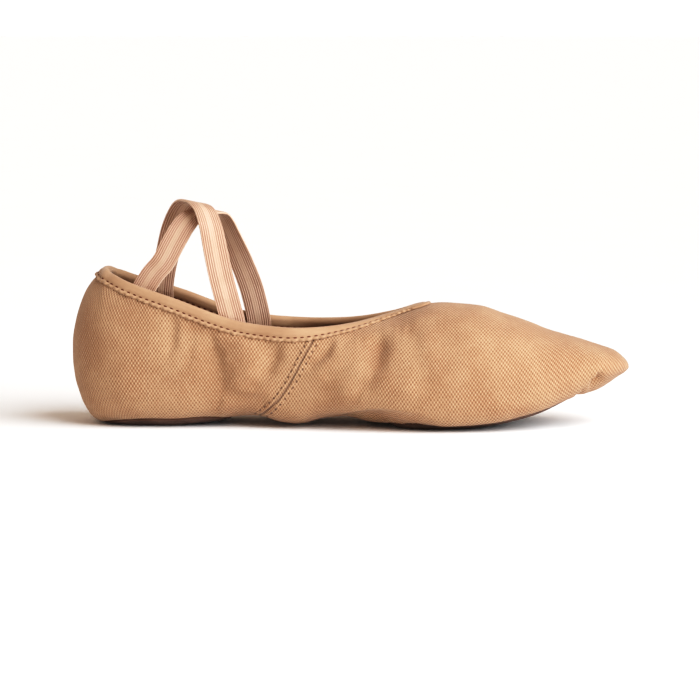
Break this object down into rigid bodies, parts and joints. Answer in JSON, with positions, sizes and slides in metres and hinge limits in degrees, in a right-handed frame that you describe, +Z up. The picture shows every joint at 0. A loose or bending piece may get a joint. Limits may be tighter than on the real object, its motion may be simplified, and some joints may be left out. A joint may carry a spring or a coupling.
{
  "type": "ballet slipper",
  "caption": "Soft split-sole ballet slipper in stretch canvas with a folded collar binding, suede heel and forefoot pads and crossed elastics over the instep.",
  "frame": {"origin": "middle of the slipper's bounding box in plan, on the floor under the soles", "axes": "+X from heel to toe, +Y to the side away from the camera, +Z up"},
  "size_m": [0.2398, 0.074, 0.0968],
  "materials": {
    "canvas": "matt tan stretch canvas, fine plain weave",
    "binding_cloth": "smooth tan bias tape, folded and stitched",
    "elastic": "ribbed woven elastic, pinkish beige",
    "suede": "brown suede, napped, worn smooth where it stands",
    "lining": "pale cotton lining over thin padding"
  },
  "bodies": {
    "root": {"upper": "canvas", "collar_binding": "binding_cloth", "forefoot_sole": "suede", "heel_sole": "suede", "forefoot_insole": "lining", "heel_insole": "lining", "elastic_under": "elastic", "elastic_over": "elastic"}
  },
  "joints": []
}
